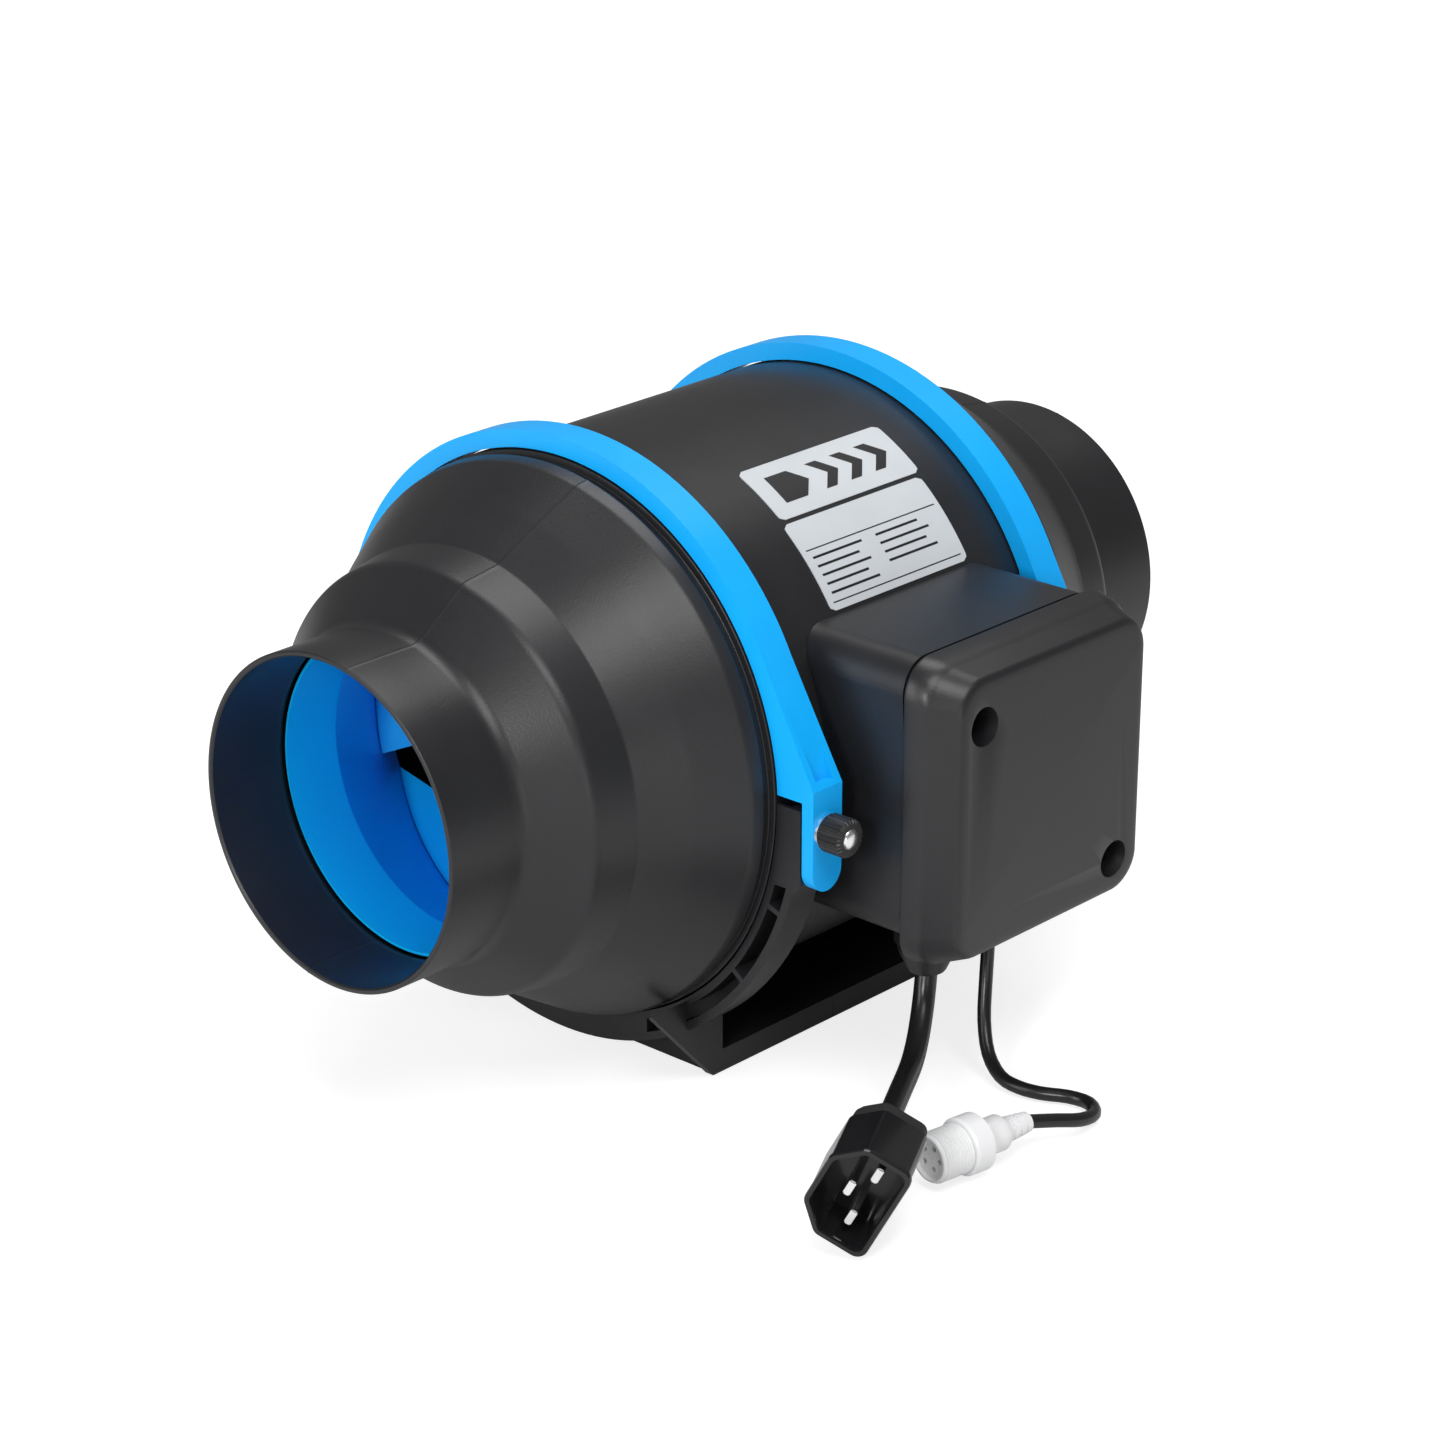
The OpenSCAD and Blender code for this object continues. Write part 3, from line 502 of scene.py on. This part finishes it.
def box_cover():
    """Cover in three zones: a skirt with a slight draft, a soft crease, a crisp bevel, a second crease, and a flat.
    Each ring is left, right, low, high, corner radius, distance out. The front is slightly crowned."""
    rings = [cover_ring(*ring) for ring in (
        (-41.9, 47.7, -46.2, 43.1, 10.7, 111.2), (-42.1, 47.9, -46.4, 43.3, 10.9, 111.4),
        (-42.2, 48.0, -46.5, 43.4, 11, 112.2), (-41.2, 47.9, -46.4, 42.2, 11, 116.4),
        (-40.8, 47.7, -46.3, 41.7, 11, 117.6), (-40.3, 47.4, -46.0, 41.2, 11, 118.4),
        (-39.7, 47.1, -45.7, 40.8, 11, 119.2), (-36.0, 45.6, -43.9, 38.9, 10, 124.6),
        (-35.4, 45.2, -43.5, 38.5, 9.6, 125.3), (-34.6, 44.6, -42.9, 37.9, 9.2, 125.75),
        (-33.2, 43.4, -41.6, 36.6, 8.4, 125.97), (-31.4, 41.8, -39.8, 34.8, 7.4, 126.0))]
    for step in (0.8, 0.6, 0.4, 0.2):
        flat = []
        for x, z in rect_loop(-31.4, 41.8, -39.8, 34.8, 7.4):
            x, z = COVER_MIDDLE + (Vector((x, z)) - COVER_MIDDLE) * step
            flat.append(Vector((x * MM, -(126.0 + crown(z)) * MM, z * MM + AXIS_H)))
        rings.append(flat)
    bm = bmesh.new()
    loops = [[bm.verts.new(p) for p in ring] for ring in rings]
    for one, two in zip(loops, loops[1:]):
        for k in range(len(one)):
            bm.faces.new((one[k], one[(k + 1) % len(one)], two[(k + 1) % len(two)], two[k]))
    bm.faces.new(loops[0])
    centre = bm.verts.new((COVER_MIDDLE.x * MM, -(126.0 + crown(COVER_MIDDLE.y)) * MM, COVER_MIDDLE.y * MM + AXIS_H))
    for k in range(len(loops[-1])):
        bm.faces.new((loops[-1][k], loops[-1][(k + 1) % len(loops[-1])], centre))
    obj = add_piece("box_cover_shell", bm, "casing_black", angle=40)
    inside = bmesh.new()
    lo = [inside.verts.new((x * MM, -0.1050, z * MM + AXIS_H)) for x, z in
          rect_loop(-38.5, 40.5, -37.5, 39.5, 8)]
    hi = [inside.verts.new((v.co.x, -0.1162, v.co.z)) for v in lo]
    for k in range(len(lo)):
        inside.faces.new((lo[k], lo[(k + 1) % len(lo)], hi[(k + 1) % len(lo)], hi[k]))
    inside.faces.new(lo)
    inside.faces.new(hi)
    cut(obj, inside)
    for x, z in COVER_SCREWS:
        cut(obj, cylinder_bm(5.6 * MM, 114.5 * MM, 128 * MM, x * MM, z * MM))
    bevel(obj, 0.0004, segments=2, angle=60, harden=False)
    shade_smooth(obj.data, 30)
    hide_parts("box_cover")


def crowned_box():
    """Junction box with rounded edges, its front edge following the cover's crown."""
    bm = cleaned("junction_box")
    upright = [e for e in bm.edges if e.calc_length() > 0.02
               and all(v.co.y < BOX_FRONT_Y for v in e.verts) and abs(e.verts[0].co.x - e.verts[1].co.x) < 1e-5]
    bmesh.ops.subdivide_edges(bm, edges=upright, cuts=11)
    for v in bm.verts:
        if v.co.y < BOX_FRONT_Y:
            v.co.y -= crown((v.co.z - AXIS_H) / MM) * MM
    obj = add_piece("junction_box_soft", bm, SLOT_OF["junction_box"], angle=30)
    bevel(obj, 0.0004)
    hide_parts("junction_box")


box_cover()
crowned_box()

# ---- Bracket and straps ----

for node_name in ("bracket_front", "bracket_rear"):
    softened(node_name, 0.0005, segments=2)


def tapered(co):
    """The wedge is as wide as the band where they meet, and widens towards the tab."""
    if abs(co.x) < STRAP_IN - 0.0001 and co.z - AXIS_H > 0.034:
        co.x = math.copysign(STRAP_IN, co.x)


for node_name in ("strap_front", "strap_rear"):
    softened(node_name, 0.0020, segments=5, tweak=tapered)


def thumb_nut(name, side, node):
    """Knob with ridges cut along it and a chamfer at each end."""
    ridges, bm = 26, bmesh.new()
    y0, y1, core = 97.05, 105.0, 2.05
    steps = [(y0, -0.5), (y0 + 0.5, 0), (y1 - 0.7, 0), (y1, -0.7)]
    loops = []
    for y, shrink in steps:
        loop = []
        for i in range(ridges * 4):
            a = 2 * math.pi * i / (ridges * 4)
            r = (5.5 if i % 4 in (1, 2) else 5.12) + shrink
            loop.append(bm.verts.new((side * STRAP_X + r * MM * math.cos(a), -y * MM,
                                      NUT_Z + r * MM * math.sin(a))))
        loops.append(loop)
    for y, r in ((y1, 3.0), (y1 - 1.4, 3.0), (y1 - 1.4, core), (y0, core)):
        loops.append([bm.verts.new((side * STRAP_X + r * MM * math.cos(2 * math.pi * i / (ridges * 4)), -y * MM,
                                    NUT_Z + r * MM * math.sin(2 * math.pi * i / (ridges * 4))))
                      for i in range(ridges * 4)])
    for i in range(len(loops)):
        one, two = loops[i], loops[(i + 1) % len(loops)]
        for k in range(len(one)):
            bm.faces.new((one[k], one[(k + 1) % len(one)], two[(k + 1) % len(one)], two[k]))
    obj = add_piece(name, bm, "gland_black", frame_body(node), angle=25)
    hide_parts(node)


def dome(name, side, node):
    """Bright domed end in the knob."""
    outline = [(0, 103.6), (2.95, 103.6), (2.95, 105.0), (2.7, 105.35), (2.2, 105.6), (1.5, 105.8), (0.8, 105.9),
               (0, 105.95)]
    place = (Matrix.Translation((side * STRAP_X, 0, NUT_Z)) @ Matrix.Rotation(math.radians(-90), 4, "Z"))
    obj = lathe(name, in_metres([(y, r) for r, y in outline]), "nickel", frame_body(node), around=48, move=place)
    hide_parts(node)


for side_name, side_sign in (("front", -1), ("rear", 1)):
    thumb_nut("knob_" + side_name, side_sign, "thumb_nut_" + side_name)
    dome("knob_dome_" + side_name, side_sign, "nut_insert_" + side_name)


# ---- Plug and connector ----

PLUG_PLACE = (Matrix.Translation((-0.070, -0.1296, 0.0183)) @ Matrix.Rotation(math.radians(298.7), 4, "Z")
              @ Matrix.Rotation(math.radians(90), 4, "X") @ Matrix.Rotation(math.radians(62), 4, "Z"))


def plug_loft(name, rings, slot_name, node):
    """Solid through rings of (width, height, chamfer, corner radius, distance along the plug)."""
    bm = bmesh.new()
    loops = []
    for w, h, c, r, z in rings:
        pts = [Vector((x * MM, y * MM)) for x, y in (
            (-w / 2 + c, h / 2), (w / 2 - c, h / 2), (w / 2, h / 2 - c), (w / 2, -h / 2), (-w / 2, -h / 2),
            (-w / 2, h / 2 - c))]
        out = []
        for i, p in enumerate(pts):
            out += arc_corner(pts[i - 1], p, pts[(i + 1) % 6], r * MM, 5)
        loops.append([bm.verts.new(PLUG_PLACE @ Vector((p.x, p.y, z * MM))) for p in out])
    for one, two in zip(loops, loops[1:]):
        for k in range(len(one)):
            bm.faces.new((one[k], one[(k + 1) % len(one)], two[(k + 1) % len(one)], two[k]))
    bm.faces.new(loops[0])
    bm.faces.new(loops[-1])
    obj = add_piece(name, bm, slot_name, frame_body(node), angle=28)
    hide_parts(node)
    return obj


def plug():
    """Plug: stepped and ribbed rear cap, glossy shell with a rim, and three flat pins in its mouth."""
    cap = [(9, 8, 2, 1.6, 0), (10.6, 9.4, 2.4, 1.8, 0.5)]
    for i in range(4):
        w, z = 11.5 + 3.4 * i, 0.8 + 2.7 * i
        cap += [(w, w * 0.78, w * 0.24, w * 0.16, z), (w + 1.6, (w + 1.6) * 0.78, w * 0.25, w * 0.17, z + 0.5),
                (w + 2.2, (w + 2.2) * 0.78, w * 0.25, w * 0.17, z + 2.1), (w + 0.6, (w + 0.6) * 0.78, w * 0.24,
                                                                            w * 0.16, z + 2.4)]
    cap += [(25.5, 18.4, 6, 2.6, 12.0), (27, 19.4, 6.4, 2.8, 12.6), (27.6, 19.8, 6.6, 2.8, 17.4),
            (27, 19.4, 6.4, 2.8, 18)]
    shell = [(28.2, 20.2, 6.8, 2.8, 18), (29, 21, 7, 3, 18.5), (29, 21, 7, 3, 40.6), (29.8, 21.8, 7.2, 3.2, 41.2),
             (29.8, 21.8, 7.2, 3.2, 42.4), (29.3, 21.3, 7, 3, 42.9), (27, 19, 6.4, 2.4, 42.9),
             (26.4, 18.4, 6.2, 2.2, 42.3), (26, 18, 6, 2, 41.5), (25.4, 17.4, 5.8, 1.8, 27)]
    parts = [plug_loft("plug_cap_ribbed", cap, "rubber_black", "plug_rear_cap"),
             plug_loft("plug_shell_rimmed", shell, "plug_black", "plug_shell")]
    pins = bmesh.new()
    for x in (-7.4, 0, 7.4):
        y = 1.8 if x == 0 else -2.6
        block = bmesh.ops.create_cube(pins, size=1)["verts"]
        for v in block:
            end = 0.86 if v.co.z > 0 else 1
            v.co = PLUG_PLACE @ Vector(((x + v.co.x * 5.4 * end) * MM, (y + v.co.y * 2.3 * end) * MM,
                                        (31 + v.co.z * 16) * MM))
    bmesh.ops.bevel(pins, geom=list(pins.edges), offset=0.00035, segments=2, affect="EDGES")
    obj = add_piece("plug_pins_flat", pins, "nickel", frame_body("plug_pins"), angle=30)
    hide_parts("plug_pins")
    return parts + [obj]


plug_parts = plug()


def connector():
    """White round connector: slotted sleeve, neck, flange and threaded barrel, along its own axis."""
    place = (Matrix.Translation((-0.028, -0.145, 0.009)) @ Matrix.Rotation(math.radians(171), 4, "Z"))
    sleeve = [(0, 0.2), (0, 2.9)]
    for i in range(3):
        x = 1.6 + i * 2.6
        sleeve += [(x, 3.1 + i * 0.25), (x, 2.6 + i * 0.25), (x + 0.9, 2.7 + i * 0.25), (x + 0.9, 3.2 + i * 0.25)]
    sleeve += [(10, 4.1), (10, 5.0), (10.4, 5.2), (17.6, 5.2), (18, 5.0), (18, 0.2)]
    flange = [(18, 0.2), (18, 7.6), (18.6, 8.3), (24.2, 8.3), (24.9, 7.6), (25, 0.2)]
    barrel = [(25, 0.2), (25, 6.9)]
    turns = 12
    for i in range(turns):
        x = 25.2 + i * 0.82
        barrel += [(x, 6.9), (x + 0.25, 7.2), (x + 0.45, 7.2), (x + 0.7, 6.9)]
    barrel += [(35.6, 6.8), (36, 6.5), (36, 5.9), (34.8, 5.7), (34.8, 0.2)]
    out = []
    for name, outline, node in (("connector_sleeve_soft", sleeve, "connector_sleeve"),
                                ("connector_flange_soft", flange, "connector_flange"),
                                ("connector_barrel_soft", barrel, "connector_barrel")):
        obj = lathe(name, in_metres(outline), "connector_white", around=64, move=place, angle=28)
        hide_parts(node)
        out.append(obj)
    holes = bmesh.new()
    for i in range(5):
        a = 2 * math.pi * i / 5
        bmesh.ops.create_cone(holes, cap_ends=True, segments=24, radius1=0.8 * MM, radius2=0.8 * MM, depth=6 * MM,
                              matrix=place @ Matrix.Translation((33 * MM, 3.2 * MM * math.cos(a),
                                                                 3.2 * MM * math.sin(a)))
                              @ Matrix.Rotation(math.radians(90), 4, "Y"))
    cut(out[-1], holes)
    return out


lead("mains_flex", MAINS_ROUTE, MAINS_D, "mains_lead", plug_parts)
lead("control_flex", CONTROL_ROUTE, CONTROL_D, "control_lead", connector())
softened("mains_gland", 0.0009)
softened("mains_strain_relief", 0.0012)
softened("control_grommet", 0.0006)


# ---- Labels ----

def on_drum(x, angle, lift):
    """Point on the middle casing, at an angle from the top towards the junction box."""
    r = BODY_R + lift * MM
    a = math.radians(angle)
    return (x * MM, -r * math.sin(a), AXIS_H + r * math.cos(a))


def film(name, sides, slot_name, low=0.02, high=0.2):
    """Thin film on the casing, cut fine enough to follow the drum. Sides are rows of (angle, x at one edge,
    x at the other), and the film is ruled between them."""
    rows = []
    for one, two in zip(sides, sides[1:]):
        steps = max(2, int(abs(two[0] - one[0]) / 0.5))
        rows += [[a + (b - a) * i / steps for a, b in zip(one, two)] for i in range(steps)]
    rows.append(list(sides[-1]))
    bm = bmesh.new()
    grid = [[[bm.verts.new(on_drum(x, row[0], lift)) for x in row[1:]] for row in rows] for lift in (low, high)]
    last = len(rows) - 1
    for i in range(last):
        for layer in grid:
            bm.faces.new((layer[i][0], layer[i][1], layer[i + 1][1], layer[i + 1][0]))
        for j in (0, 1):
            bm.faces.new((grid[0][i][j], grid[0][i + 1][j], grid[1][i + 1][j], grid[1][i][j]))
    for i in (0, last):
        bm.faces.new((grid[0][i][0], grid[0][i][1], grid[1][i][1], grid[1][i][0]))
    return add_piece(name, bm, slot_name, angle=20)


def strip(name, x0, x1, a0, a1, slot_name, low, high, node=None):
    """Film between two lengths and two angles, with rounded corners and cut fine enough to follow the drum."""
    deg = math.degrees(1 / 82.7)
    r = 1.8 if x1 - x0 > 20 and a1 - a0 > 4 else 0.0
    rows = max(2, int((a1 - a0) / 0.7))
    bm = bmesh.new()
    grid = {}
    for top, lift in ((0, low), (1, high)):
        for i in range(rows + 1):
            a = a0 + (a1 - a0) * i / rows
            edge = min(a - a0, a1 - a) / deg
            inset = r - math.sqrt(max(0, r * r - max(0, r - edge) ** 2)) if r else 0
            for j, x in enumerate((x0 + inset, x1 - inset)):
                grid[top, i, j] = bm.verts.new(on_drum(x, a, lift))
    for i in range(rows):
        for top in (0, 1):
            bm.faces.new((grid[top, i, 0], grid[top, i, 1], grid[top, i + 1, 1], grid[top, i + 1, 0]))
        for j in (0, 1):
            bm.faces.new((grid[0, i, j], grid[0, i + 1, j], grid[1, i + 1, j], grid[1, i, j]))
    for i in (0, rows):
        bm.faces.new((grid[0, i, 0], grid[0, i, 1], grid[1, i, 1], grid[1, i, 0]))
    obj = add_piece(name, bm, slot_name, angle=20)
    if node:
        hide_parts(node)


strip("flow_label_film", -24.5, 35, 24, 37.6, "label_silver", 0.0, 0.25, "flow_label")
strip("rating_plate_film", -25.5, 33.5, 38.6, 57.9, "label_silver", 0.0, 0.25, "rating_plate")
film("flow_tail", [(27.3, -18, -9), (30.8, -18, -4), (34.3, -18, -9)], "print_black", 0.2, 0.32)
for i in range(3):
    x0 = -1 + 10.5 * i
    film("flow_chevron_%d" % i, [(27.3, x0, x0 + 4.5), (30.8, x0 + 5, x0 + 9.5), (34.3, x0, x0 + 4.5)],
         "print_black", 0.2, 0.32)
strip("rule_top", -23.5, 31.5, 45.0, 45.25, "print_black", 0.2, 0.3)
strip("rule_bottom", -23.5, 31.5, 56.2, 56.45, "print_black", 0.2, 0.3)
for i in range(5):
    strip("rule_left_%d" % i, -22.5, -2 - 3 * (i % 2), 46.6 + 1.9 * i, 47.1 + 1.9 * i, "print_black", 0.2, 0.28)
    if i < 4:
        strip("rule_right_%d" % i, 4, 22 + 3 * (i % 2), 46.6 + 1.9 * i, 47.1 + 1.9 * i, "print_black", 0.2, 0.28)
